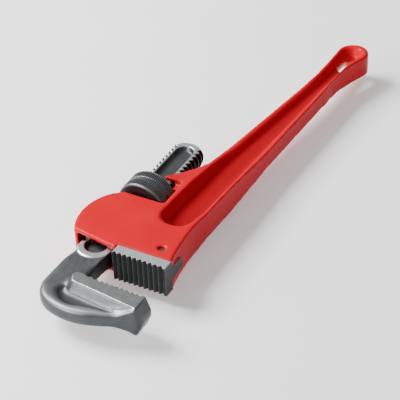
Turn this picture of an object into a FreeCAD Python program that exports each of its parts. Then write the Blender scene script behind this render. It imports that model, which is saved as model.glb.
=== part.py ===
"""Pipe wrench with a straight handle, hook jaw set to grip 34 mm. Millimetres.

Modelling frame: X runs along the hook jaw's shank from the jaws to the hanging end of the
handle, Y runs across the shank away from the handle, Z is the thickness. x = 0 is the crest
line of the heel jaw's teeth, y = 0 is the open end of the heel jaw, z = 0 is the mid-plane.
Every shape is moved by one offset before it is written, so the origin of the finished part
is the bottom centre of its bounding box.
"""
import FreeCAD, Part
import math
import os

os.makedirs("parts", exist_ok=True)
V = FreeCAD.Vector
BIG = 400.0
OVERLAP = 1.0
SAME_PLACE = 1e-3

# Head of the casting
HEAD_HALF = 14.65
MOUTH_HALF = 10.3
SEAT_X = 11.0
LIP_START = (6.8, 51.0)
LIP_END = (14.2, 96.0)
BOW_CENTRE = (40.0, 54.0)
BOW_RADIUS = 49.7
BOW_WALL = 4.5
CAVITY_FLOOR_Y = 52.6
CAVITY_END_X = 70.0
MOUTH_END_X = 16.0
MOUTH_TOP_Y = 92.3
SHANK_HOLE_TOP_Y = 88.2
SHANK_HOLE_HALF = 9.6

# Nut window and the two ears behind it
WINDOW_X0 = 78.6
WINDOW_X1 = 104.2
WINDOW_FLOOR_Y = 46.0
EAR_X0 = 112.0
EAR_HALF = 13.2
EAR_SLOT_HALF = 8.9
EAR_SLOT_Y = 52.6

EAR_FRONT_TOP_Y = 60.5
EAR_TIP = ((109.0, 64.4), (116.0, 62.6))
EAR_BACK = ((130.6, 50.8), (150.0, 41.0))
EAR_CUT_END_X = 160.0

# Handle
GRIP_HALF = 8.8
LOOP_HALF = 11.2
LOOP_CENTRE = (376.2, 0.6)
LOOP_RADIUS = 15.4
WEB_HALF = 3.0
GRIP_TOP_END = (326.0, 17.3)
LOOP_TOP_FLARE = ((343.0, 16.2), (360.0, 16.0))
LOOP_UNDER_START = (370.0, -13.4)
LOOP_UNDER_FLARE = ((346.0, -5.4), (308.0, -2.4))
GRIP_UNDER_START = (60.0, 5.6)
HEEL_UNDER = ((35.0, 4.2), (SEAT_X, 0.4))
CASTING_HALVES = [
    (-20.0, HEAD_HALF),
    (64.0, HEAD_HALF),
    (80.0, EAR_HALF),
    (118.0, EAR_HALF),
    (185.0, GRIP_HALF),
    (295.0, GRIP_HALF),
    (350.0, LOOP_HALF),
    (400.0, LOOP_HALF),
]

# I-beam recess in each face of the handle, at the middle of its sloping wall
RECESS_DRAFT = 3.5
RECESS_TOP = [(66.0, 37.8), (82.0, 38.9), (150.0, 35.0), (326.0, 12.6), (345.0, 11.3), (375.0, 11.3)]
RECESS_UNDER = [(375.0, -8.6), (354.0, -2.6), (310.0, 1.2), (82.0, 10.6), (66.0, 13.4)]
RECESS_NEAR_END = (57.0, 25.5)
RECESS_FAR_END = (384.6, 1.4)

# Hanging slot
SLOT_X0 = 350.5
SLOT_X1 = 380.5
SLOT_Y = 2.6
SLOT_HALF = 5.2

# Hook jaw shank and its thread
SHANK_Y = 70.5
SHANK_HALF = 8.25
SHANK_START_X = 10.0
SHANK_END_X = 173.0
DOME_RADIUS = 19.5
CHANNEL_HALF = 8.9
CHANNEL_FLOOR = 3.6
CHANNEL_SLOPE = 2.2
CHANNEL_X0 = 9.5
CHANNEL_X1 = 159.0
EYE_PLACE = (9.8, 71.4)
EYE_RADIUS = 10.4
THREAD_START_X = 12.0
THREAD_RADIUS = 15.3
ROOT_RADIUS = 12.7
PITCH = 5.6
GROOVE_ROOT_HALF = 0.65
GROOVE_TOP_HALF = 2.05
THREAD_GAP = 0.3
GROOVE_SWING = 130.0
GROOVE_OVERCUT = 2.0
HELIX_UNDERCUT = 0.4
HELIX_LEAD_IN_TURNS = 1.5
HELIX_EXTRA_TURNS = 4
QUARTER_TURN = 90.0

# Hook jaw head
PLATE_HALF = 7.4
PLATE_ROUND = 4.0
ROUND_FROM_Y = 5.0
DISH_FLOOR = 4.2
PAD_RADIUS = 16.3
THROAT = (-32.9, 49.0)
NOSE = (-34.9, -6.8)
BLOCK_HALF = 14.0
BLOCK_TOP_FACE = [(-50.7, -20.0), (-50.7, 2.2), (-43.5, 61.2), (-36.0, 64.9), (-30.2, 62.3)]
BLOCK_FOOT = [(-58.0, -20.0), (-58.0, 2.2), (-51.0, 66.0), (-38.5, 73.0), (-30.2, 70.0)]
BEVEL_CLEAR = 1.5
NOSE_SWELL = 4.4
NOSE_DRAFT_FOOT = (-7.6, 1.4)
NOSE_RAMP_Y = 18.0
NOSE_SIDE = [(-62.0, 5.0), (-52.0, 14.0)]
NOSE_END = ((-43.0, -7.2), (-48.8, -6.0))
NOSE_CORNER = ((-53.4, -3.6), (-54.6, 1.5))
OUTER_LOW = ((-61.0, 16.6), (-67.0, 32.5))
OUTER_SIDE = ((-70.2, 52.0), (-67.0, 71.0))
OUTER_SHOULDER = ((-58.8, 83.4), (-44.0, 89.2))
NECK_TOP_END = (-16.0, 88.8)
NECK_TOP_STEP_X = -3.0
NECK_UNDER_STEP_X = 10.0
NECK_UNDER = [(-6.0, 57.4), (-27.0, 57.4)]
THROAT_ROUND = ((-31.6, 55.4), (-33.3, 51.0))
PLATE_END_X = 30.0
DISH_START = (-60.4, 46.0)
DISH_TOP = ((-58.4, 65.0), (-53.5, 69.5))
DISH_SHOULDER = ((-47.0, 70.5), (-44.0, 66.0))
DISH_FOOT = (-47.0, 10.0)
DISH_LOW = ((-53.6, 15.0), (-57.0, 28.0))

# Teeth of both jaws
TOOTH_PITCH = 4.8
TOOTH_DEPTH = 2.4
TOOTH_WIDTH = 4.4
TOOTH_MARGIN = 2.3
TOOTH_COUNT = 10

# Heel jaw and its pin
HEEL_LENGTH = 50.5
TANG_X = 30.0
TANG_ROOT_HALF = 6.0
TANG_TIP_HALF = 4.0
TANG_Y0 = 0.9
TANG_Y1 = 49.0
TANG_GAP = 0.15
PIN_PLACE = (23.0, 16.0)
PIN_RADIUS = 3.0
PIN_HALF = 12.4
PIN_GAP = 0.05

# Adjusting nut
NUT_X0 = 79.7
NUT_X1 = 103.1
NUT_RADIUS = 23.1
NUT_CORE_RADIUS = 18.5
NUT_CHAMFER = 1.6
NUT_BAND_DEPTH = 0.6
NUT_BAND_X0 = 89.2
NUT_BAND_X1 = 93.4
KNURL_COUNT = 84
KNURL_DEPTH = 0.75
KNURL_OVERCUT = 0.4
KNURL_SHARE = 0.86

# Spring set
LEAF_X = 48.0
LEAF_REACH = 17.0
LEAF_FOOT_Y = 86.1
LEAF_RISE = 3.0
LEAF_THICK = 1.2
LEAF_HALF = 6.0
RIVET_RADIUS = 1.5
RIVET_HEAD_RADIUS = 2.7
RIVET_HEAD = 1.1
RIVET_STEM = 3.2
COIL_RADIUS = 3.9
COIL_WIRE = 0.65
COIL_HALF_TURNS = 8
SPRING_GAP = 0.1


def at(point, z=0.0):
    return V(point[0], point[1], z)


def outline(start, steps, z=0.0):
    """Closed wire. A step of one point is a line, a step of two is an arc through the first."""
    edges = []
    here = at(start, z)
    for step in list(steps) + [(start,)]:
        there = at(step[-1], z)
        if here.distanceToPoint(there) < SAME_PLACE:
            continue
        if len(step) == 2:
            edges.append(Part.Arc(here, at(step[0], z), there).toShape())
        else:
            edges.append(Part.LineSegment(here, there).toShape())
        here = there
    return Part.Wire(edges)


def slab(wire, low, high):
    """Solid between two heights over a wire drawn at z = 0."""
    face = Part.Face(wire)
    face.translate(V(0, 0, low))
    return face.extrude(V(0, 0, high - low))


def block(x0, x1, y0, y1, z0, z1):
    return Part.makeBox(x1 - x0, y1 - y0, z1 - z0, V(x0, y0, z0))


def side_prism(points):
    """Prism right across Y over a polygon given in X and Z."""
    wire = Part.makePolygon([V(x, -BIG, z) for x, z in points + points[:1]])
    return Part.Face(wire).extrude(V(0, 2 * BIG, 0))


def mirrored(points):
    """Polygon in X and Z made from its upper edge, read from -X to +X."""
    return points + [(x, -z) for x, z in reversed(points)]


def both_faces(solid):
    """The solid and its mirror image below the mid-plane."""
    return [solid, solid.mirror(V(0, 0, 0), V(0, 0, 1))]


def x_cylinder(x0, x1, radius):
    return Part.makeCylinder(radius, x1 - x0, V(x0, SHANK_Y, 0), V(1, 0, 0))


def casting_outline():
    bow_top = (BOW_CENTRE[0], BOW_CENTRE[1] + BOW_RADIUS)
    drop = WINDOW_X0 - BOW_CENTRE[0]
    bow_end = (WINDOW_X0, BOW_CENTRE[1] + math.sqrt(BOW_RADIUS**2 - drop**2))
    loop_x, loop_y = LOOP_CENTRE
    steps = [
        ((SEAT_X, LIP_START[1]),),
        (LIP_START,),
        (LIP_END,),
        (bow_top, bow_end),
        ((WINDOW_X0, WINDOW_FLOOR_Y),),
        ((WINDOW_X1, WINDOW_FLOOR_Y),),
        ((WINDOW_X1, EAR_FRONT_TOP_Y),),
        EAR_TIP,
        EAR_BACK,
        (GRIP_TOP_END,),
        LOOP_TOP_FLARE,
        ((loop_x, loop_y + LOOP_RADIUS),),
        ((loop_x + LOOP_RADIUS, loop_y), (loop_x, loop_y - LOOP_RADIUS)),
        (LOOP_UNDER_START,),
        LOOP_UNDER_FLARE,
        (GRIP_UNDER_START,),
        HEEL_UNDER,
    ]
    return outline(HEEL_UNDER[-1], steps)


def recess_outline(grow, z):
    """Edge of the I-beam recess, wider by grow on every side."""
    top = [(x, y + grow) for x, y in RECESS_TOP]
    under = [(x, y - grow) for x, y in RECESS_UNDER]
    near_end = (RECESS_NEAR_END[0] - grow, RECESS_NEAR_END[1])
    far_end = (RECESS_FAR_END[0] + grow, RECESS_FAR_END[1])
    steps = [(near_end, top[0])]
    steps += [(point,) for point in top[1:]]
    steps += [(far_end, under[0])]
    steps += [(point,) for point in under[1:-1]]
    return outline(under[-1], steps, z)


def recess():
    bottom = recess_outline(-RECESS_DRAFT, WEB_HALF)
    top = recess_outline(RECESS_DRAFT, HEAD_HALF)
    return Part.makeLoft([bottom, top], True, True)


def shank_cavity():
    """Hollow of the head: D-shaped spring space, then the plain hole to the nut window."""
    disc = Part.makeCylinder(BOW_RADIUS - BOW_WALL, 2 * MOUTH_HALF, at(BOW_CENTRE, -MOUTH_HALF))
    hollow = disc.common(block(-BIG, CAVITY_END_X, CAVITY_FLOOR_Y, BIG, -MOUTH_HALF, MOUTH_HALF))
    mouth = block(-BIG, MOUTH_END_X, CAVITY_FLOOR_Y, MOUTH_TOP_Y, -MOUTH_HALF, MOUTH_HALF)
    hole = block(CAVITY_END_X - OVERLAP, WINDOW_X0 + OVERLAP, CAVITY_FLOOR_Y, SHANK_HOLE_TOP_Y,
                 -SHANK_HOLE_HALF, SHANK_HOLE_HALF)
    return [hollow, mouth, hole]


def tang(gap, y0, y1):
    """Wedge-shaped tang of the heel jaw, or its slot when gap is above zero."""
    points = mirrored([
        (SEAT_X - gap, TANG_ROOT_HALF + gap),
        (TANG_X + gap, TANG_TIP_HALF + gap),
    ])
    return side_prism(points).common(block(-BIG, BIG, y0 - gap, y1 + gap, -BIG, BIG))


def pin_rod(gap, half):
    return Part.makeCylinder(PIN_RADIUS + gap, 2 * half, at(PIN_PLACE, -half))


def ear_relief():
    """Room behind the nut for fingers. Between the ears a pad stays, and the nut bears on it."""
    return block(WINDOW_X1 - OVERLAP, EAR_X0, WINDOW_FLOOR_Y, BIG, EAR_SLOT_HALF, BIG)


def handle_casting():
    body = slab(casting_outline(), -HEAD_HALF, HEAD_HALF).common(side_prism(mirrored(CASTING_HALVES)))
    ears = block(WINDOW_X1 - OVERLAP, EAR_CUT_END_X, EAR_SLOT_Y, BIG, -EAR_SLOT_HALF, EAR_SLOT_HALF)
    slot_ends = [
        Part.makeCylinder(SLOT_HALF, BIG, V(x, SLOT_Y, -BIG / 2))
        for x in (SLOT_X0 + SLOT_HALF, SLOT_X1 - SLOT_HALF)
    ]
    slot = block(SLOT_X0 + SLOT_HALF, SLOT_X1 - SLOT_HALF, SLOT_Y - SLOT_HALF, SLOT_Y + SLOT_HALF,
                 -BIG, BIG)
    cuts = both_faces(recess()) + both_faces(ear_relief()) + shank_cavity() + slot_ends
    cuts += [ears, slot, tang(TANG_GAP, -BIG / 2, TANG_Y1), pin_rod(PIN_GAP, BIG / 2)]
    return body.cut(cuts)


def tooth_grooves(start, end, inward, margin):
    """V grooves along Z, cut into the face that runs from start to end."""
    along = (at(end) - at(start)).normalize()
    grooves = []
    for index in range(TOOTH_COUNT):
        middle = at(start) + along * (margin + TOOTH_PITCH * (index + 0.5))
        left = middle - along * (TOOTH_WIDTH / 2)
        right = middle + along * (TOOTH_WIDTH / 2)
        root = middle + inward * TOOTH_DEPTH
        lift = inward * -TOOTH_DEPTH
        points = [left, root, right, right + lift, left + lift, left]
        wire = Part.makePolygon(points)
        wire.translate(V(0, 0, -BIG / 2))
        grooves.append(Part.Face(wire).extrude(V(0, 0, BIG)))
    return grooves


def heel_jaw():
    body = block(0, SEAT_X, 0, HEEL_LENGTH, -HEAD_HALF, HEAD_HALF)
    body = body.fuse(tang(0.0, TANG_Y0, TANG_Y1)).removeSplitter()
    grooves = tooth_grooves((0, 0), (0, HEEL_LENGTH), V(1, 0, 0), TOOTH_MARGIN)
    return body.cut(grooves + [pin_rod(PIN_GAP, BIG / 2)])


def groove_half(radius):
    """Half width of the shank's thread groove at a radius."""
    slope = (GROOVE_TOP_HALF - GROOVE_ROOT_HALF) / (THREAD_RADIUS - ROOT_RADIUS)
    return GROOVE_ROOT_HALF + slope * (radius - ROOT_RADIUS)


def shank_grooves():
    """Right-hand thread grooves on the two round edges of the shank.

    Each edge covers only part of a turn, so each groove is a ring segment tipped by the
    lead angle. The two edges are half a pitch apart.
    """
    mean = (ROOT_RADIUS + THREAD_RADIUS) / 2
    lead_angle = math.degrees(math.atan(PITCH / (2 * math.pi * mean)))
    over = THREAD_RADIUS + GROOVE_OVERCUT
    count = math.ceil((SHANK_END_X - THREAD_START_X) / PITCH) + 1
    grooves = []
    for side, phase in ((1, 0.0), (-1, 0.5)):
        for index in range(count):
            section = [
                V(-groove_half(over), side * over, 0),
                V(-GROOVE_ROOT_HALF, side * ROOT_RADIUS, 0),
                V(GROOVE_ROOT_HALF, side * ROOT_RADIUS, 0),
                V(groove_half(over), side * over, 0),
            ]
            face = Part.Face(Part.makePolygon(section + section[:1]))
            face.rotate(V(0, 0, 0), V(1, 0, 0), -GROOVE_SWING / 2)
            groove = face.revolve(V(0, 0, 0), V(1, 0, 0), GROOVE_SWING)
            groove.rotate(V(0, 0, 0), V(0, 1, 0), side * lead_angle)
            groove.translate(V(THREAD_START_X + PITCH * (index + phase), SHANK_Y, 0))
            grooves.append(groove)
    return grooves


def threaded_tube(radius):
    """Core of the nut, with the helical groove that the shank's ridges run in."""
    inner = ROOT_RADIUS + THREAD_GAP - HELIX_UNDERCUT
    outer = THREAD_RADIUS + THREAD_GAP
    inner_half = PITCH / 2 + THREAD_GAP - groove_half(inner)
    outer_half = PITCH / 2 + THREAD_GAP - groove_half(outer)
    turns_before = math.floor((NUT_X0 - THREAD_START_X) / PITCH) - HELIX_LEAD_IN_TURNS
    length = (math.ceil((NUT_X1 - NUT_X0) / PITCH) + HELIX_EXTRA_TURNS) * PITCH
    corners = [
        V(inner, 0, -inner_half),
        V(outer, 0, -outer_half),
        V(outer, 0, outer_half),
        V(inner, 0, inner_half),
    ]
    helix = Part.makeHelix(PITCH, length, inner)
    profile = Part.makePolygon(corners + corners[:1])
    groove = Part.Wire(helix.Edges).makePipeShell([profile], True, True)
    groove.rotate(V(0, 0, 0), V(0, 1, 0), 90)
    groove.translate(V(THREAD_START_X + turns_before * PITCH, SHANK_Y, 0))
    tube = x_cylinder(NUT_X0, NUT_X1, radius).cut(
        x_cylinder(NUT_X0, NUT_X1, ROOT_RADIUS + THREAD_GAP))
    tube = tube.cut(groove)
    tube.rotate(V(0, SHANK_Y, 0), V(1, 0, 0), QUARTER_TURN)
    return tube


def hook_outline():
    shank_top_y = SHANK_Y + THREAD_RADIUS
    shank_under_y = SHANK_Y - THREAD_RADIUS
    steps = [
        (NOSE,),
        NOSE_END,
        NOSE_CORNER,
        OUTER_LOW,
        OUTER_SIDE,
        OUTER_SHOULDER,
        (NECK_TOP_END,),
        ((NECK_TOP_STEP_X, shank_top_y),),
        ((PLATE_END_X, shank_top_y),),
        ((PLATE_END_X, shank_under_y),),
        ((NECK_UNDER_STEP_X, shank_under_y),),
        (NECK_UNDER[0],),
        (NECK_UNDER[1],),
        THROAT_ROUND,
    ]
    return outline(THROAT, steps)


def shank():
    """Flattened round bar with a domed end. Its flat sides end at SHANK_END_X."""
    bar = x_cylinder(SHANK_START_X, SHANK_END_X + DOME_RADIUS, THREAD_RADIUS)
    bar = bar.common(block(-BIG, BIG, -BIG, BIG, -SHANK_HALF, SHANK_HALF))
    reach = math.sqrt(DOME_RADIUS**2 - SHANK_HALF**2)
    dome = Part.makeSphere(DOME_RADIUS, V(SHANK_END_X - reach, SHANK_Y, 0))
    straight = block(-BIG, SHANK_END_X - reach, -BIG, BIG, -SHANK_HALF, SHANK_HALF)
    return bar.common(straight.fuse(dome))


def strip_outline(half, z):
    y0 = SHANK_Y - half
    y1 = SHANK_Y + half
    steps = [
        ((CHANNEL_X1, y0),),
        ((CHANNEL_X1 + half, SHANK_Y), (CHANNEL_X1, y1)),
        ((CHANNEL_X0, y1),),
        ((CHANNEL_X0 - half, SHANK_Y), (CHANNEL_X0, y0)),
    ]
    return outline((CHANNEL_X0, y0), steps, z)


def channel():
    """Sunk strip in one flat side of the shank, with a wider round eye at the jaw end."""
    low = strip_outline(CHANNEL_HALF - CHANNEL_SLOPE, CHANNEL_FLOOR)
    high = strip_outline(CHANNEL_HALF, SHANK_HALF)
    strip = Part.makeLoft([low, high], True, True)
    depth = SHANK_HALF - CHANNEL_FLOOR
    eye = Part.makeCone(EYE_RADIUS - CHANNEL_SLOPE, EYE_RADIUS, depth,
                        at(EYE_PLACE, CHANNEL_FLOOR))
    return strip.fuse(eye)


def hook_plate():
    """Flat body of the hook with its outer edge forged round."""
    plate = slab(hook_outline(), -PLATE_HALF, PLATE_HALF)
    outer = [
        edge for edge in plate.Edges
        if abs(abs(edge.CenterOfMass.z) - PLATE_HALF) < SAME_PLACE
        and edge.CenterOfMass.y > ROUND_FROM_Y
        and (edge.CenterOfMass.x < NOSE[0] or edge.CenterOfMass.y > SHANK_Y + ROOT_RADIUS)
    ]
    return plate.makeFillet(PLATE_ROUND, outer)


def tooth_block():
    """Full-width block behind the hook's teeth, bevelled along its back and upper end."""
    levels = ((-BLOCK_HALF, BLOCK_TOP_FACE), (0.0, BLOCK_FOOT), (BLOCK_HALF, BLOCK_TOP_FACE))
    wires = []
    for z, corners in levels:
        front = [(THROAT[0] + BEVEL_CLEAR, corners[-1][1]), (THROAT[0] + BEVEL_CLEAR, corners[0][1])]
        points = [at(point, z) for point in corners + front]
        wires.append(Part.makePolygon(points + points[:1]))
    halves = [Part.makeLoft(wires[index:index + 2], True, True) for index in (0, 1)]
    return halves[0].fuse(halves[1])


def nose_ramp():
    """Wall that rises from the outer edge of the hook to the full width of its end."""
    tip_y = NOSE[1] + NOSE_SWELL
    points = mirrored([(-BIG, BLOCK_HALF), (tip_y, BLOCK_HALF), (NOSE_RAMP_Y, DISH_FLOOR)])
    wire = Part.makePolygon([V(-BIG, y, z) for y, z in points + points[:1]])
    along = Part.Face(wire).extrude(V(2 * BIG, 0, 0))
    return along.common(side_prism(mirrored(NOSE_SIDE + [(THROAT[0], BLOCK_HALF)])))


def nose_draft():
    """Cutter that slopes the end of the hook back from its middle towards one face."""
    tip_y = NOSE[1] + NOSE_SWELL
    points = [
        (-BIG, NOSE_DRAFT_FOOT[1]),
        NOSE_DRAFT_FOOT,
        (tip_y, BLOCK_HALF),
        (tip_y, BIG),
        (-BIG, BIG),
    ]
    wire = Part.makePolygon([V(-BIG, y, z) for y, z in points + points[:1]])
    return Part.Face(wire).extrude(V(BIG, 0, 0))


def dish():
    """Forged hollow between the outer rim and the tooth block."""
    wire = outline(DISH_START, [DISH_TOP, DISH_SHOULDER, (DISH_FOOT,), DISH_LOW])
    return slab(wire, DISH_FLOOR, 2 * BLOCK_HALF)


def hook_jaw():
    whole = slab(hook_outline(), -BLOCK_HALF, BLOCK_HALF)
    pad = Part.makeCylinder(PAD_RADIUS, 2 * SHANK_HALF, at(EYE_PLACE, -SHANK_HALF))
    body = hook_plate().cut(both_faces(dish()))
    body = body.fuse(whole.common(tooth_block().fuse([nose_ramp(), pad])))
    body = body.fuse(shank()).cut(both_faces(channel()) + both_faces(nose_draft()))

    margin = NOSE_SWELL + TOOTH_MARGIN
    body = body.cut(shank_grooves() + tooth_grooves(NOSE, THROAT, V(-1, 0, 0), margin))
    return max(body.removeSplitter().Solids, key=lambda solid: solid.Volume)


def knurl_grooves():
    """Fine V grooves along the nut, in the two bands either side of its middle."""
    cutter_angle = math.pi / KNURL_COUNT
    outer = NUT_RADIUS + KNURL_OVERCUT
    half = outer * math.sin(cutter_angle) * KNURL_SHARE
    cutters = []
    spans = ((NUT_X0 - OVERLAP, NUT_BAND_X0), (NUT_BAND_X1, NUT_X1 + OVERLAP))
    for index in range(KNURL_COUNT):
        for x0, x1 in spans:
            wire = Part.makePolygon([
                V(x0, -half, outer),
                V(x0, half, outer),
                V(x0, 0, NUT_RADIUS - KNURL_DEPTH),
                V(x0, -half, outer),
            ])
            cutter = Part.Face(wire).extrude(V(x1 - x0, 0, 0))
            cutter.rotate(V(0, 0, 0), V(1, 0, 0), index * math.degrees(2 * cutter_angle))
            cutter.translate(V(0, SHANK_Y, 0))
            cutters.append(cutter)
    return cutters


def adjusting_nut():
    face_radius = NUT_RADIUS - NUT_CHAMFER
    band_radius = NUT_RADIUS - NUT_BAND_DEPTH
    section = [
        (NUT_X0, NUT_CORE_RADIUS),
        (NUT_X0, face_radius),
        (NUT_X0 + NUT_CHAMFER, NUT_RADIUS),
        (NUT_BAND_X0, NUT_RADIUS),
        (NUT_BAND_X0, band_radius),
        (NUT_BAND_X1, band_radius),
        (NUT_BAND_X1, NUT_RADIUS),
        (NUT_X1 - NUT_CHAMFER, NUT_RADIUS),
        (NUT_X1, face_radius),
        (NUT_X1, NUT_CORE_RADIUS),
    ]
    wire = Part.makePolygon([V(x, SHANK_Y + y, 0) for x, y in section + section[:1]])
    sleeve = Part.Face(wire).revolve(V(0, SHANK_Y, 0), V(1, 0, 0), 360)
    sleeve = sleeve.cut(knurl_grooves())
    return sleeve.fuse(threaded_tube(NUT_CORE_RADIUS)).removeSplitter()


def leaf_arc(lift):
    left = V(LEAF_X - LEAF_REACH, LEAF_FOOT_Y + lift, -LEAF_HALF)
    top = V(LEAF_X, LEAF_FOOT_Y + LEAF_RISE + lift, -LEAF_HALF)
    right = V(LEAF_X + LEAF_REACH, LEAF_FOOT_Y + lift, -LEAF_HALF)
    return Part.Arc(left, top, right).toShape()


def flat_spring():
    low = leaf_arc(0.0)
    high = leaf_arc(LEAF_THICK)
    ends = [
        Part.LineSegment(low.Vertexes[i].Point, high.Vertexes[i].Point).toShape()
        for i in (0, 1)
    ]
    strip = Part.Face(Part.Wire([low, ends[1], high, ends[0]])).extrude(V(0, 0, 2 * LEAF_HALF))
    hole = Part.makeCylinder(RIVET_RADIUS + PIN_GAP, BIG, V(LEAF_X, 0, 0), V(0, 1, 0))
    return strip.cut(hole)


def spring_rivet():
    under = LEAF_FOOT_Y + LEAF_RISE - SPRING_GAP
    axis = V(0, 1, 0)
    foot = V(LEAF_X, under - RIVET_HEAD, 0)
    head = Part.makeCylinder(RIVET_HEAD_RADIUS, RIVET_HEAD, foot, axis)
    stem = Part.makeCylinder(RIVET_RADIUS, RIVET_HEAD + RIVET_STEM, foot, axis)
    return head.fuse(stem).removeSplitter()


def coil_spring():
    """Half rings, each tipped so that it climbs half of the coil's lead."""
    bottom = LEAF_FOOT_Y + LEAF_RISE + LEAF_THICK + COIL_WIRE + SPRING_GAP
    edge = LEAF_X + COIL_RADIUS + COIL_WIRE - BOW_CENTRE[0]
    wall = BOW_CENTRE[1] + math.sqrt((BOW_RADIUS - BOW_WALL)**2 - edge**2)
    climb = (wall - COIL_WIRE - SPRING_GAP - bottom) / COIL_HALF_TURNS
    tip = math.atan(climb / (2 * COIL_RADIUS))
    ring_radius = COIL_RADIUS / math.cos(tip)
    halves = []
    for index in range(COIL_HALF_TURNS):
        side = 1 if index % 2 == 0 else -1
        start = V(-side * ring_radius, 0, 0)
        wire = Part.Wire(Part.makeCircle(COIL_WIRE, start, V(0, 0, 1)))
        half = Part.Face(wire).revolve(V(0, 0, 0), V(0, 1, 0), 180)
        half.rotate(V(0, 0, 0), V(0, 0, 1), side * math.degrees(tip))
        half.translate(V(LEAF_X, bottom + climb * (index + 0.5), 0))
        halves.append(half)
    return halves[0].fuse(halves[1:]).removeSplitter()


def main():
    nodes = {
        "handle_casting": handle_casting(),
        "heel_jaw": heel_jaw(),
        "heel_jaw_pin": pin_rod(0.0, PIN_HALF),
        "hook_jaw": hook_jaw(),
        "adjusting_nut": adjusting_nut(),
        "flat_spring": flat_spring(),
        "coil_spring": coil_spring(),
        "spring_rivet": spring_rivet(),
    }
    box = Part.makeCompound(list(nodes.values())).optimalBoundingBox(False, False)
    offset = V(-box.Center.x, -box.Center.y, -box.ZMin)
    for name, shape in nodes.items():
        shape.translate(offset)
        shape.exportStep("parts/" + name + ".step")
        print(name, shape.ShapeType, len(shape.Solids), shape.isValid(), round(shape.Volume))
    print("offset", [round(value, 3) for value in offset])


main()
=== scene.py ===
"""Looks of a pipe wrench lying on a pale floor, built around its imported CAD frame.

Sizes are in millimetres in the CAD source's modelling frame and are turned into metres of the
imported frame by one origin, which is read from the heel jaw: x = 0 is the crest line of its
teeth, y = 0 is its open end and z = 0 is the mid-plane. A pair of numbers that is handed to
smooth_step or span is the range over which something fades in.
"""
import bpy
import math
import numpy as np
from mathutils import Matrix, Vector, noise


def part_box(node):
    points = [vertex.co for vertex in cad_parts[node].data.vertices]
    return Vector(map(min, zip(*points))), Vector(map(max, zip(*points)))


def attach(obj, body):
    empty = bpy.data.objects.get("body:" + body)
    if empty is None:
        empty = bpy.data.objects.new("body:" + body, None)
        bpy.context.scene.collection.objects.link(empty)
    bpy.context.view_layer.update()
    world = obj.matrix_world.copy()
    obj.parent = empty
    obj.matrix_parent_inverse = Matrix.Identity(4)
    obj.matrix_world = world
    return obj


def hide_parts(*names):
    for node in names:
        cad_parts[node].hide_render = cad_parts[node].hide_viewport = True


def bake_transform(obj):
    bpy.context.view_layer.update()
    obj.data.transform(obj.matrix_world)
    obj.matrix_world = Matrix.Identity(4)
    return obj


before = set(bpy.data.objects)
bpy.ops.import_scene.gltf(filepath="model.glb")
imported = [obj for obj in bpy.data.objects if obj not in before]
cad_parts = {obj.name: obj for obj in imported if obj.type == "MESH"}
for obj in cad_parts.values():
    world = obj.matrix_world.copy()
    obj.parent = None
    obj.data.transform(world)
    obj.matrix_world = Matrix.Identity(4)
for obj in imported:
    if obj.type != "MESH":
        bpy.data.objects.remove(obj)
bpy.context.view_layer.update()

MM = 0.001
HEEL_LOW, HEEL_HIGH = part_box("heel_jaw")
ORIGIN = np.array((HEEL_LOW.x, HEEL_LOW.y, (HEEL_LOW.z + HEEL_HIGH.z) / 2))

# Camera: angles in degrees, distance in metres, lens and sensor in millimetres
CAMERA_AZIMUTH = -59.9
CAMERA_ELEVATION = 36.9
CAMERA_ROLL = -2.7
CAMERA_DISTANCE = 1.2587
CAMERA_LENS = 130.2
CAMERA_SENSOR = 36.0
AIM = (110.63, 28.5, 0.0)

# Floor and lights, in metres and watts. A softbox is its name, place, size and power.
FLOOR_REACH = 6.0
FLOOR_GLOW = 0.35
SKY_STRENGTH = 0.34
SOFTBOXES = (
    ("softbox_left", (-0.1, 1.3, 1.3), (0.9, 0.9), 75),
    ("softbox_front", (-1.3, 0.62, 0.5), (0.5, 0.6), 25),
)
WHITE = (1.0, 1.0, 1.0, 1.0)

# Voxel sizes of the remeshed pieces, how many times each is relaxed, and how far each time
CASTING_VOXEL = 0.88
CASTING_RELAX = 9
HOOK_VOXEL = 0.64
HOOK_RELAX = 2
HOOK_SHARE = 0.4
FORGE_RELAX = 60
HEEL_VOXEL = 0.3
HEEL_RELAX = 3
SMALL_VOXEL = 0.16
SMALL_RELAX = 3
RELAX_SHARE = 0.5

# Bend of a surface per millimetre and its level (0 upright, 1 flat), and how often each is
# smoothed
BEND_PASSES = 5
EDGE_BEND = (0.06, 0.3)
HOLLOW_BEND = (0.14, 0.36)
LEVEL_PASSES = 4
SIDE_LEVEL = (0.25, 0.8)

# Hollows of the handle's web, as X and Y of their lower and upper edges. The casting relaxes
# freely inside them. That fades in from outside to inside of an edge, and along X at both ends.
HOLLOW_LOW = ((62.0, 82.0, 310.0, 354.0), (14.0, 10.6, 1.2, -2.6))
HOLLOW_HIGH = ((62.0, 82.0, 150.0, 326.0, 345.0), (37.0, 38.9, 35.0, 12.6, 11.3))
HOLLOW_RELAX = 45
HOLLOW_OUTSIDE = 2.5
HOLLOW_INSIDE = 1.0
HOLLOW_NEAR_END = (53.0, 58.0)
HOLLOW_FAR_END = (340.5, 348.5)
# Where the web's recess gets painted shade: by distance from the mid-plane and by level
RECESS_DARK = (4.0, 8.0)
RECESS_LEVEL = (0.5, 0.9)

# Unevenness of the sand casting, as the size and the depth of its waves and of its grain
CAST_WAVE = (14.0, 0.08)
CAST_GRAIN = (3.5, 0.04)

# Sizes of the hook jaw
SHANK_Y = 70.5
SHANK_HALF = 8.25
MILLED_HALF = 13.9

# Where the hook relaxes freely: short of the shank and of the cut teeth, and hardly on the
# top of its tooth block
FORGED_END_X = (-19.0, -11.0)
TEETH_FROM_X = (-40.4, -37.4)
TEETH_TO_Y = (49.0, 52.0)
BLOCK_TOP_Z = (11.0, 13.0)
BLOCK_TOP_HOLD = 0.85

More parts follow.
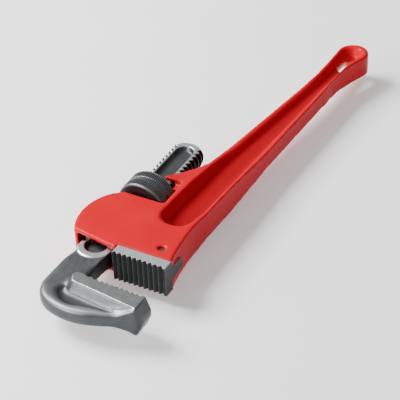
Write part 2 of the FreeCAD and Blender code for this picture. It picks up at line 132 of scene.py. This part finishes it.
# Where the hook's tones lie, by X, by Y, by distance from the mid-plane or by level. A land
# counts as ground down to LAND_SUNK below the shank's faces, and a little deeper at the thread.
FLAT_LEVEL = (0.65, 0.88)
MILLED_SNAP_Z = (13.4, 13.7)
MILLED_Z = (13.0, 13.6)
LAND_FROM_X = (-8.5, -7.0)
LAND_SUNK = 0.3
LAND_SUNK_AT_THREAD = 0.4
LAND_THREAD_X = (25.0, 35.0)
LAND_FADE = 0.4
# Distance from the mid-plane over which the dish gets painted shade and its rim a painted highlight
DISH_DARK = (5.0, 6.6)
DISH_FROM_X = (7.0, 27.0)
DISH_LEVEL = (0.6, 0.95)
RIM_FROM_X = (50.0, 56.0)
RIM_TO_Y = (52.0, 78.0)
RIM_LEVEL = (0.25, 0.6)
# Where the shank's threaded edges get painted shadow, by X and by distance from the shank's middle
THREAD_SHADOW_X = (5.0, 11.0)
THREAD_SHADOW_Y = (9.7, 10.5)

# Heel jaw: its level sides are ground, and what faces the mouth near the teeth gets near-black
# painted shade
HEEL_FLAT_LEVEL = (0.75, 0.95)
HEEL_FACING = (0.1, 0.3)
HEEL_TOOTH_DEPTH = 4.0

# Adjusting nut. NUT_EDGE is how far its rounded edge runs along X and lies below the rim.
NUT_X0 = 79.7
NUT_X1 = 103.1
NUT_RADIUS = 23.1
NUT_CHAMFER = 1.6
NUT_END_RADII = (16.4, 18.5, 20.6)
NUT_EDGE = ((0.05, 1.6), (0.88, 0.45), (1.6, 0.06))
NUT_BAND = (89.2, 93.4)
NUT_BAND_DEPTH = 0.6
NUT_BAND_STEP = 0.35
NUT_BAND_EDGE_DEPTH = 0.15
NUT_BAND_EDGE_KNURL = 0.3
KNURL_COUNT = 84
KNURL_STEPS = 8
KNURL_DEPTH = 0.75
KNURL_RING_STEP = 0.9
CREST_GAIN = 1.6
CREST_START = 0.8
ROUNDED_CREST = 0.8
ROUNDED_DEPTH = 0.5
THREAD_START_X = 12.0
THREAD_PITCH = 5.6
THREAD_BORE = 13.0
THREAD_OUTER = 15.6
THREAD_CREST_HALF = 0.89
THREAD_ROOT_HALF = 2.29
THREAD_STEP = 0.35

# Parts of a noise's range that blend softly, blend hard, or count as worn or as crests with a
# painted highlight
SOFT = (0.3, 0.7)
HARD = (0.35, 0.65)
WORN = (0.35, 0.6)
CREST = (0.3, 0.6)

# Colours, linear. A pair is a colour's darkest and lightest tone.
RED = ((0.50, 0.001, 0.009), (0.57, 0.001, 0.011))
# painted shade: the red is darker on the casting's upright sides
RED_SIDE_SHADE = (0.34, 0.001, 0.008)
# painted shade on the floor of the handle's recess
RED_RECESS_SHADE = (0.22, 0.001, 0.005)
# painted shade in the casting's concave corners
RED_HOLLOW_SHADE = (0.24, 0.001, 0.002)
# painted highlight: lighter red along the casting's outward edges
RED_EDGE_HIGHLIGHT = (0.90, 0.030, 0.022)
FORGED = ((0.085, 0.090, 0.094), (0.130, 0.136, 0.140))
FORGED_STAIN = (0.06, 0.064, 0.068)
# painted shade on the hook's upright sides
FORGED_SIDE_SHADE = (0.030, 0.033, 0.035)
# painted shade in the hollow dish behind the tooth block
FORGED_DISH_SHADE = (0.040, 0.043, 0.045)
# painted highlight on the rounded back rim of the hook
FORGED_RIM_HIGHLIGHT = (0.300, 0.310, 0.318)
# painted shadow, near black, on the shank's threaded edges
FORGED_THREAD_SHADOW = (0.008, 0.010, 0.010)
# painted shade in the hook's concave hollows
FORGED_HOLLOW_SHADE = (0.030, 0.032, 0.034)
FORGED_WORN = (0.38, 0.39, 0.40)
MILLED = ((0.32, 0.33, 0.335), (0.37, 0.38, 0.385))
GROUND = ((0.62, 0.63, 0.64), (0.80, 0.81, 0.82))
HEEL = ((0.022, 0.025, 0.026), (0.042, 0.046, 0.048))
HEEL_GROUND = ((0.36, 0.37, 0.38), (0.47, 0.48, 0.49))
# painted shade, near black, on the tooth faces that face the mouth
HEEL_TEETH_SHADE = ((0.006, 0.008, 0.008), (0.014, 0.016, 0.016))
HEEL_WORN = (0.38, 0.40, 0.40)
NUT = ((0.080, 0.087, 0.092), (0.125, 0.134, 0.140))
# painted highlight along the knurl's crests and the nut's rounded edges
NUT_CREST_HIGHLIGHT = (0.36, 0.37, 0.38)
# painted shade on the nut's end faces and in its bore
NUT_END_SHADE = (0.010, 0.012, 0.012)
SPRING = ((0.16, 0.16, 0.17), (0.26, 0.26, 0.27))
# kept dark as painted shade for the pin, which sits down in its hole; the rivet shares it
PIN = ((0.06, 0.06, 0.06), (0.12, 0.12, 0.12))
FLOOR = ((0.90, 0.90, 0.90), (0.93, 0.93, 0.93))


def place(x, y, z):
    """A point given in modelling millimetres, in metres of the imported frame."""
    return Vector(ORIGIN + np.array((x, y, z)) * MM)


def smooth_step(value, low, high):
    """0 up to low, 1 from high on, with a smooth rise between them."""
    t = np.clip((value - low) / (high - low), 0.0, 1.0)
    return t * t * (3.0 - 2.0 * t)


# ---------------------------------------------------------------- mesh work

def read_points(mesh):
    """Points of a mesh in modelling millimetres."""
    flat = np.empty(len(mesh.vertices) * 3)
    mesh.vertices.foreach_get("co", flat)
    return (flat.reshape(-1, 3) - ORIGIN) / MM


def write_points(mesh, points):
    mesh.vertices.foreach_set("co", (points * MM + ORIGIN).ravel())
    mesh.update()


def read_normals(mesh):
    flat = np.empty(len(mesh.vertices) * 3)
    mesh.vertex_normals.foreach_get("vector", flat)
    return flat.reshape(-1, 3)


def read_edges(mesh):
    flat = np.empty(len(mesh.edges) * 2, dtype=np.int32)
    mesh.edges.foreach_get("vertices", flat)
    return flat.reshape(-1, 2)


def neighbour_mean(values, edges):
    """Mean of each point's neighbours, for a column or a table of values."""
    count = len(values)
    table = values.reshape(count, -1)
    degree = np.bincount(edges.ravel(), minlength=count)
    result = np.empty_like(table)
    for column in range(table.shape[1]):
        total = np.bincount(edges[:, 0], table[edges[:, 1], column], count)
        total += np.bincount(edges[:, 1], table[edges[:, 0], column], count)
        result[:, column] = total / np.maximum(degree, 1)
    return result.reshape(values.shape)


def relax(mesh, steps, share=RELAX_SHARE):
    """Moves each point towards its neighbours' mean, so that sharp edges come out rounded."""
    edges = read_edges(mesh)
    points = read_points(mesh)
    share = np.asarray(share, dtype=float).reshape(-1, 1)
    for _ in range(steps):
        points += share * (neighbour_mean(points, edges) - points)
    write_points(mesh, points)


def store(mesh, name, values):
    attribute = mesh.attributes.new(name, "FLOAT", "POINT")
    attribute.data.foreach_set("value", values.astype(np.float32))


def store_bends(mesh, voxel):
    """Saves where the surface bends outwards (edge) and inwards (hollow), from 0 to 1."""
    edges = read_edges(mesh)
    points = read_points(mesh)
    pull = neighbour_mean(points, edges) - points
    bend = -np.einsum("ij,ij->i", pull, read_normals(mesh)) / voxel**2
    for _ in range(BEND_PASSES):
        bend = neighbour_mean(bend, edges)
    store(mesh, "edge", smooth_step(bend, *EDGE_BEND))
    store(mesh, "hollow", smooth_step(-bend, *HOLLOW_BEND))


def levelness(mesh, low, high):
    """How level the surface is, from 0 on its upright sides to 1 on its flat faces."""
    edges = read_edges(mesh)
    level = np.abs(read_normals(mesh)[:, 2])
    for _ in range(LEVEL_PASSES):
        level = neighbour_mean(level, edges)
    return smooth_step(level, low, high)


def new_piece(name, mesh):
    piece = bpy.data.objects.new(name, mesh)
    bpy.context.scene.collection.objects.link(piece)
    return piece


def remeshed(node, voxel):
    """An evenly meshed copy of a CAD node, as a mesh of its own."""
    source = new_piece("source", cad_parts[node].data.copy())
    modifier = source.modifiers.new("even", "REMESH")
    modifier.mode = "VOXEL"
    modifier.voxel_size = voxel * MM
    graph = bpy.context.evaluated_depsgraph_get()
    mesh = bpy.data.meshes.new_from_object(source.evaluated_get(graph))
    bpy.data.objects.remove(source)
    return mesh


def roughen(mesh, wave, grain):
    """Sinks the surface a little and unevenly, as the surface of a sand casting is uneven."""
    points = read_points(mesh)
    normals = read_normals(mesh)
    wave_size, wave_depth = wave
    grain_size, grain_depth = grain
    depth = np.empty(len(points))
    for index, point in enumerate(points):
        wide = noise.noise(Vector(point / wave_size))
        narrow = noise.noise(Vector(point / grain_size))
        depth[index] = wave_depth * (1 + wide) + grain_depth * (1 + narrow)
    write_points(mesh, points - normals * depth.reshape(-1, 1) / 2)


def dress(mesh, material):
    mesh.materials.clear()
    mesh.materials.append(material)
    mesh.shade_smooth()


def stand_for(piece, node, body):
    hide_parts(node)
    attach(piece, body)


# ---------------------------------------------------------------- material work

class Tree:
    """A material's node tree, built with few words."""

    def __init__(self, name):
        self.material = bpy.data.materials.new(name)
        self.material.use_nodes = True
        self.tree = self.material.node_tree
        self.shader = self.tree.nodes["Principled BSDF"]
        self.place = self.add("ShaderNodeTexCoord").outputs["Object"]

    def add(self, kind, inputs=None, **settings):
        made = self.tree.nodes.new(kind)
        for key, value in settings.items():
            setattr(made, key, value)
        for key, value in (inputs or {}).items():
            self.feed(made.inputs[key], value)
        return made

    def feed(self, socket, value):
        if isinstance(value, bpy.types.NodeSocket):
            self.tree.links.new(value, socket)
        else:
            socket.default_value = value

    def noise(self, size, detail=3.0, stretch=None):
        """Noise whose features are about size millimetres across."""
        where = self.place
        if stretch:
            where = self.add("ShaderNodeMapping", {"Vector": where, "Scale": stretch}).outputs[0]
        made = self.add("ShaderNodeTexNoise", {
            "Vector": where, "Scale": 1 / (size * MM), "Detail": detail,
        })
        return made.outputs["Fac"]

    def cloud(self, size, to_low=0.0, to_high=1.0, detail=3.0, stretch=None):
        """Noise that blends softly from one value to another."""
        return self.span(self.noise(size, detail, stretch), *SOFT, to_low, to_high)

    def attribute(self, name):
        return self.add("ShaderNodeAttribute", attribute_name=name).outputs["Fac"]

    def span(self, value, low, high, to_low=0.0, to_high=1.0):
        made = self.add("ShaderNodeMapRange", {
            "Value": value, "From Min": low, "From Max": high, "To Min": to_low, "To Max": to_high,
        })
        return made.outputs["Result"]

    def math(self, operation, first, second):
        made = self.add("ShaderNodeMath", {0: first, 1: second}, operation=operation)
        return made.outputs[0]

    def mix(self, share, first, second):
        first, second = (
            colour if isinstance(colour, bpy.types.NodeSocket) else (*colour, 1.0)
            for colour in (first, second)
        )
        made = self.add(
            "ShaderNodeMix", {"Factor": share, "A": first, "B": second}, data_type="RGBA",
        )
        return made.outputs["Result"]

    def tint(self, colour, name, strength, towards):
        """Blends a colour towards another one where the mesh's named attribute is high."""
        share = self.math("MULTIPLY", self.attribute(name), strength)
        return self.mix(share, colour, towards)

    def bump(self, height, distance, strength=1.0, under=None):
        inputs = {"Height": height, "Distance": distance * MM, "Strength": strength}
        if under:
            inputs["Normal"] = under
        return self.add("ShaderNodeBump", inputs).outputs["Normal"]

    def finish(self, colour, rough, normal, fixed=None):
        self.feed(self.shader.inputs["Base Color"], colour)
        self.feed(self.shader.inputs["Roughness"], rough)
        self.feed(self.shader.inputs["Normal"], normal)
        for key, value in (fixed or {}).items():
            self.shader.inputs[key].default_value = value
        return self.material


def red_enamel():
    """Gloss red enamel on a sand casting, with a painted highlight along outward edges and painted
    shade in corners, in the web's recess and on upright sides.
    """
    t = Tree("red_enamel")
    colour = t.mix(t.cloud(30.0), *RED)
    # Painted shade: upright sides are darkened towards a deeper red.
    colour = t.tint(colour, "side", 0.30, RED_SIDE_SHADE)
    # Painted shade on the recess floor.
    colour = t.tint(colour, "recess", 0.75, RED_RECESS_SHADE)
    # Painted shade in concave corners.
    colour = t.tint(colour, "hollow", 0.5, RED_HOLLOW_SHADE)
    # Painted highlight along outward edges, patchy by noise.
    colour = t.tint(colour, "edge", t.span(t.noise(5.0), *HARD, 0.1, 0.4), RED_EDGE_HIGHLIGHT)
    rough = t.cloud(7.0, 0.26, 0.36)
    normal = t.bump(t.noise(4.0, 2.0), 0.08, 0.5)
    normal = t.bump(t.noise(1.3, 2.0), 0.02, 0.5, normal)
    return t.finish(colour, rough, normal, {
        "Specular IOR Level": 0.09, "Coat Weight": 0.03, "Coat Roughness": 0.12,
    })


def forged_steel():
    """Hook jaw: dark shot-blasted forging, bright where it is ground or worn, with a painted
    highlight on its back rim and painted shade on its sides, in its dish, in hollows and along the
    shank's thread.
    """
    t = Tree("forged_steel")
    ground = t.attribute("ground")
    milled = t.attribute("milled")
    colour = t.mix(t.span(t.noise(0.7), *HARD), *FORGED)
    colour = t.mix(t.span(t.noise(9.0, 4.0), *HARD, 0.0, 0.35), colour, FORGED_STAIN)
    # Painted shade on upright sides.
    colour = t.tint(colour, "side", 0.6, FORGED_SIDE_SHADE)
    # Painted shade in the dish.
    colour = t.tint(colour, "dish_shade", 0.45, FORGED_DISH_SHADE)
    # Painted highlight on the back rim.
    colour = t.tint(colour, "rim", 0.75, FORGED_RIM_HIGHLIGHT)
    # Painted shadow on the shank's threaded edges.
    colour = t.mix(t.attribute("thread"), colour, FORGED_THREAD_SHADOW)
    # Painted shade in concave hollows.
    colour = t.tint(colour, "hollow", 0.7, FORGED_HOLLOW_SHADE)
    colour = t.tint(colour, "edge", t.span(t.noise(0.8), *WORN, 0.2, 0.6), FORGED_WORN)
    colour = t.mix(milled, colour, t.mix(t.noise(5.0), *MILLED))
    streak = t.cloud(0.5, detail=2.0, stretch=(0.12, 1.0, 1.0))
    colour = t.mix(ground, colour, t.mix(streak, *GROUND))
    machined = t.math("MAXIMUM", ground, milled)
    rough = t.math("SUBTRACT", t.cloud(6.0, 0.38, 0.46), t.math("MULTIPLY", machined, 0.16))
    pits = t.math("MULTIPLY", t.noise(0.9, 4.0), t.math("SUBTRACT", 1.0, machined))
    normal = t.bump(pits, 0.10, 0.6)
    normal = t.bump(t.math("MULTIPLY", streak, ground), 0.004, 0.3, normal)
    return t.finish(colour, rough, normal, {"Metallic": 0.85})


def ground_steel():
    """Heel jaw: ground sides, teeth near-black with painted shade."""
    t = Tree("ground_steel")
    streak = t.cloud(0.5, detail=2.0, stretch=(1.0, 0.12, 1.0))
    colour = t.mix(t.noise(2.5), *HEEL)
    colour = t.mix(t.attribute("ground"), colour, t.mix(streak, *HEEL_GROUND))
    # Painted shade on the tooth faces.
    colour = t.mix(t.attribute("black"), colour, t.mix(t.noise(1.4), *HEEL_TEETH_SHADE))
    colour = t.tint(colour, "edge", t.span(t.noise(0.9), *WORN, 0.05, 0.35), HEEL_WORN)
    normal = t.bump(streak, 0.015, 0.5)
    normal = t.bump(t.noise(0.7), 0.04, 0.5, normal)
    return t.finish(colour, t.cloud(1.2, 0.34, 0.48), normal, {"Metallic": 0.6})


def nut_steel():
    """Adjusting nut: blackened steel, with a painted highlight along the crests of the knurl and on
    its rounded edges, and painted shade on its ends and in its bore.
    """
    t = Tree("nut_steel")
    colour = t.mix(t.noise(3.0), *NUT)
    # Painted highlight along the crests.
    colour = t.tint(colour, "crest", t.span(t.noise(1.1), *CREST, 0.15, 0.45), NUT_CREST_HIGHLIGHT)
    # Painted shade on the end faces and in the bore.
    colour = t.tint(colour, "end", 0.85, NUT_END_SHADE)
    normal = t.bump(t.noise(0.45), 0.03, 0.6)
    return t.finish(colour, t.cloud(0.9, 0.30, 0.46), normal, {"Metallic": 0.75})


def plain_steel(name, tones, rough_low, rough_high):
    """Small steel part with tool marks and slight tarnish."""
    t = Tree(name)
    colour = t.mix(t.cloud(1.6), *tones)
    normal = t.bump(t.noise(0.4), 0.015, 0.6)
    return t.finish(colour, t.cloud(0.8, rough_low, rough_high), normal, {"Metallic": 0.8})


def floor_paint():
    """Matt white that glows a little, so that the floor stays pale away from the lights."""
    t = Tree("floor_paint")
    colour = t.mix(t.noise(120.0), *FLOOR)
    normal = t.bump(t.noise(4.0), 0.02, 0.2)
    return t.finish(colour, t.cloud(60.0, 0.6, 0.7), normal, {
        "Emission Color": WHITE, "Emission Strength": FLOOR_GLOW,
    })


# ---------------------------------------------------------------- pieces

def hollow_share(points):
    """How freely each point of the casting relaxes: only inside the hollows of its web."""
    x, y, z = points.T
    low = np.interp(x, *HOLLOW_LOW)
    high = np.interp(x, *HOLLOW_HIGH)
    inside = smooth_step(y, low - HOLLOW_OUTSIDE, low + HOLLOW_INSIDE)
    inside *= smooth_step(-y, -high - HOLLOW_OUTSIDE, -high + HOLLOW_INSIDE)
    along = smooth_step(x, *HOLLOW_NEAR_END) * (1 - smooth_step(x, *HOLLOW_FAR_END))
    return inside * along


def add_casting(material):
    mesh = remeshed("handle_casting", CASTING_VOXEL)
    relax(mesh, CASTING_RELAX)
    relax(mesh, HOLLOW_RELAX, RELAX_SHARE * hollow_share(read_points(mesh)))
    store_bends(mesh, CASTING_VOXEL)
    # The side share marks upright faces, where the enamel gets painted shade.
    store(mesh, "side", 1 - levelness(mesh, *SIDE_LEVEL))
    # The recess share marks the web's floor, which gets painted shade.
    depth = smooth_step(-np.abs(read_points(mesh)[:, 2]), -RECESS_DARK[1], -RECESS_DARK[0])
    store(mesh, "recess", depth * levelness(mesh, *RECESS_LEVEL))
    roughen(mesh, CAST_WAVE, CAST_GRAIN)
    dress(mesh, material)
    stand_for(new_piece("casting", mesh), "handle_casting", "handle")


def forging_share(points):
    """How freely each point of the hook relaxes: the forged part does, the cut part doesn't."""
    x, y, z = points.T
    forged = 1 - smooth_step(x, *FORGED_END_X)
    teeth = smooth_step(x, *TEETH_FROM_X) * (1 - smooth_step(y, *TEETH_TO_Y))
    block_top = smooth_step(np.abs(z), *BLOCK_TOP_Z)
    return forged * (1 - teeth) * (1 - BLOCK_TOP_HOLD * block_top)


def add_hook(material):
    mesh = remeshed("hook_jaw", HOOK_VOXEL)
    relax(mesh, HOOK_RELAX, HOOK_SHARE)
    relax(mesh, FORGE_RELAX, RELAX_SHARE * forging_share(read_points(mesh)))
    points = read_points(mesh)
    near_top = smooth_step(np.abs(points[:, 2]), *MILLED_SNAP_Z)
    points[:, 2] += near_top * (np.sign(points[:, 2]) * MILLED_HALF - points[:, 2])
    write_points(mesh, points)
    x, y, z = points.T
    off = np.abs(z)
    flat = smooth_step(np.abs(read_normals(mesh)[:, 2]), *FLAT_LEVEL)
    land_z = SHANK_HALF - LAND_SUNK - LAND_SUNK_AT_THREAD * smooth_step(x, *LAND_THREAD_X)
    ground = flat * smooth_step(off - land_z, -LAND_FADE, 0.0) * smooth_step(x, *LAND_FROM_X)
    milled = flat * smooth_step(off, *MILLED_Z)
    store(mesh, "ground", ground)
    store(mesh, "milled", milled)
    # Painted shade in the low, level dish of the hook's back.
    dish_shade_share = smooth_step(-off, -DISH_DARK[1], -DISH_DARK[0]) * levelness(mesh, *DISH_LEVEL)
    store(mesh, "dish_shade", dish_shade_share * smooth_step(-x, *DISH_FROM_X))
    # Painted highlight on the rounded rim round the dish.
    rim_highlight = smooth_step(off, *DISH_DARK) * smooth_step(-x, *RIM_FROM_X)
    rim_highlight *= (1 - smooth_step(y, *RIM_TO_Y)) * levelness(mesh, *RIM_LEVEL)
    store(mesh, "rim", rim_highlight * (1 - milled))
    # Painted shadow on the threaded edges next to the shank's ground lands.
    thread_shadow = smooth_step(np.abs(y - SHANK_Y), *THREAD_SHADOW_Y) * smooth_step(x, *THREAD_SHADOW_X)
    store(mesh, "thread", thread_shadow * (1 - ground))
    store_bends(mesh, HOOK_VOXEL)
    # The side share marks upright faces, which get painted shade.
    store(mesh, "side", 1 - levelness(mesh, *SIDE_LEVEL))
    dress(mesh, material)
    stand_for(new_piece("hook", mesh), "hook_jaw", "hook_jaw")


def add_heel(material):
    mesh = remeshed("heel_jaw", HEEL_VOXEL)
    relax(mesh, HEEL_RELAX)
    normals = read_normals(mesh)
    points = read_points(mesh)
    near_teeth = points[:, 0] < HEEL_TOOTH_DEPTH
    store(mesh, "ground", smooth_step(np.abs(normals[:, 2]), *HEEL_FLAT_LEVEL))
    # Faces towards the mouth near the teeth get near-black painted shade.
    store(mesh, "black", smooth_step(-normals[:, 0], *HEEL_FACING) * near_teeth)
    store_bends(mesh, HEEL_VOXEL)
    dress(mesh, material)
    stand_for(new_piece("heel_insert", mesh), "heel_jaw", "handle")


def add_small(node, name, body, material):
    """Pin, leaf and rivet: the CAD shape with its edges broken."""
    mesh = remeshed(node, SMALL_VOXEL)
    relax(mesh, SMALL_RELAX)
    dress(mesh, material)
    stand_for(new_piece(name, mesh), node, body)


def add_coil(material):
    """The coil is held by the housing at its top and by the leaf at its foot."""
    mesh = remeshed("coil_spring", SMALL_VOXEL)
    dress(mesh, material)
    piece = new_piece("coil", mesh)
    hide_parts("coil_spring")
    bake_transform(piece)


def thread_radius(x, angle):
    """Radius of the nut's right-hand internal thread."""
    centre = THREAD_START_X + THREAD_PITCH * (0.5 + angle / (2 * math.pi))
    off = np.abs((x - centre + THREAD_PITCH / 2) % THREAD_PITCH - THREAD_PITCH / 2)
    share = np.clip((THREAD_ROOT_HALF - off) / (THREAD_ROOT_HALF - THREAD_CREST_HALF), 0, 1)
    return THREAD_BORE + (THREAD_OUTER - THREAD_BORE) * share


def nut_profile():
    """Rows of (x, radius, knurl share) from the front bore edge, round the outside, to the back."""
    front, back = NUT_X0, NUT_X1
    band0, band1 = NUT_BAND
    top = NUT_RADIUS
    band = top - NUT_BAND_DEPTH
    step = NUT_BAND_STEP
    knurl_start = front + NUT_CHAMFER + step
    rows = [(front, radius, 0) for radius in NUT_END_RADII]
    rows += [(front + along, top - below, 0) for along, below in NUT_EDGE]
    rows += [(x, top, 1) for x in np.arange(knurl_start, band0 - step, KNURL_RING_STEP)]
    rows += [(band0 - step, top, 1), (band0, top - NUT_BAND_EDGE_DEPTH, NUT_BAND_EDGE_KNURL)]
    rows += [(band0 + step, band, 0), (band0 + 2 * step, band, 0)]
    mirror = front + back
    middle = [((band0 + band1) / 2, band, 0)]
    return rows + middle + [(mirror - x, radius, knurl) for x, radius, knurl in reversed(rows)]


def add_nut(material):
    """Closed rings round the outside and back through the threaded bore, joined by quads."""
    around = KNURL_COUNT * KNURL_STEPS
    angle = np.arange(around) * 2 * math.pi / around
    tooth = np.abs((np.arange(around) % KNURL_STEPS) / KNURL_STEPS * 2 - 1)
    rings, crests, ends = [], [], []
    for x, radius, knurl in nut_profile():
        reach = radius - KNURL_DEPTH * knurl * (1 - tooth)
        rings.append((np.full(around, x), reach))
        # Rows below the chamfer, on the end faces, get painted shade.
        ends.append(np.full(around, float(radius < NUT_RADIUS - NUT_CHAMFER / 2)))
        rounded = 0 < NUT_RADIUS - radius < ROUNDED_DEPTH
        # Knurl crests and rounded edge rows get a painted highlight.
        crest = np.clip(knurl * (tooth * CREST_GAIN - CREST_START), 0, 1)
        crests.append(crest + rounded * ROUNDED_CREST)
    bore_rings = len(np.arange(NUT_X1, NUT_X0 - THREAD_STEP / 2, -THREAD_STEP))
    for x in np.linspace(NUT_X1, NUT_X0, bore_rings):
        rings.append((np.full(around, x), thread_radius(x, angle)))
        crests.append(np.zeros(around))
        # The bore's rings get painted shade like the end faces.
        ends.append(np.ones(around))
    points = np.concatenate([
        np.stack((x, SHANK_Y + reach * np.cos(angle), reach * np.sin(angle)), axis=1)
        for x, reach in rings
    ])
    faces = []
    for ring in range(len(rings)):
        here = ring * around
        there = (ring + 1) % len(rings) * around
        for step in range(around):
            after = (step + 1) % around
            faces.append((here + step, here + after, there + after, there + step))
    mesh = bpy.data.meshes.new("nut")
    mesh.from_pydata([place(*point) for point in points], [], faces)
    store(mesh, "crest", np.clip(np.concatenate(crests), 0, 1))
    store(mesh, "end", np.concatenate(ends))
    dress(mesh, material)
    stand_for(new_piece("knurled_nut", mesh), "adjusting_nut", "nut")


# ---------------------------------------------------------------- stage

def add_camera():
    azimuth = math.radians(CAMERA_AZIMUTH)
    elevation = math.radians(CAMERA_ELEVATION)
    back = Vector((
        math.sin(azimuth) * math.cos(elevation),
        -math.cos(azimuth) * math.cos(elevation),
        math.sin(elevation),
    ))
    right = Vector((math.cos(azimuth), math.sin(azimuth), 0))
    roll = Matrix.Rotation(math.radians(CAMERA_ROLL), 3, back)
    axes = Matrix((roll @ right, roll @ back.cross(right), back)).transposed()
    data = bpy.data.cameras.new("camera")
    data.lens = CAMERA_LENS
    data.sensor_width = CAMERA_SENSOR
    camera = new_piece("camera", data)
    camera.matrix_world = Matrix.Translation(place(*AIM) + back * CAMERA_DISTANCE) @ axes.to_4x4()
    bpy.context.scene.camera = camera


def add_softbox(name, spot, size, power):
    """A rectangular light that faces the frame's origin."""
    data = bpy.data.lights.new(name, "AREA")
    data.shape = "RECTANGLE"
    data.size, data.size_y = size
    data.energy = power
    light = new_piece(name, data)
    light.location = spot
    light.rotation_euler = (-Vector(spot)).to_track_quat("-Z", "Y").to_euler()


def add_stage():
    reach = FLOOR_REACH
    mesh = bpy.data.meshes.new("floor")
    corners = [(-reach, -reach, 0), (reach, -reach, 0), (reach, reach, 0), (-reach, reach, 0)]
    mesh.from_pydata(corners, [], [(0, 1, 2, 3)])
    mesh.materials.append(floor_paint())
    new_piece("floor", mesh)
    world = bpy.data.worlds.new("studio")
    world.use_nodes = True
    sky = world.node_tree.nodes["Background"]
    sky.inputs["Color"].default_value = WHITE
    sky.inputs["Strength"].default_value = SKY_STRENGTH
    bpy.context.scene.world = world
    for softbox in SOFTBOXES:
        add_softbox(*softbox)


spring = plain_steel("spring_steel", SPRING, 0.28, 0.42)
pin = plain_steel("pin_steel", PIN, 0.35, 0.5)
add_casting(red_enamel())
add_hook(forged_steel())
add_heel(ground_steel())
add_nut(nut_steel())
add_small("heel_jaw_pin", "heel_pin", "handle", pin)
add_small("flat_spring", "leaf", "jaw_springs", spring)
add_small("spring_rivet", "rivet", "jaw_springs", pin)
add_coil(spring)
add_camera()
add_stage()
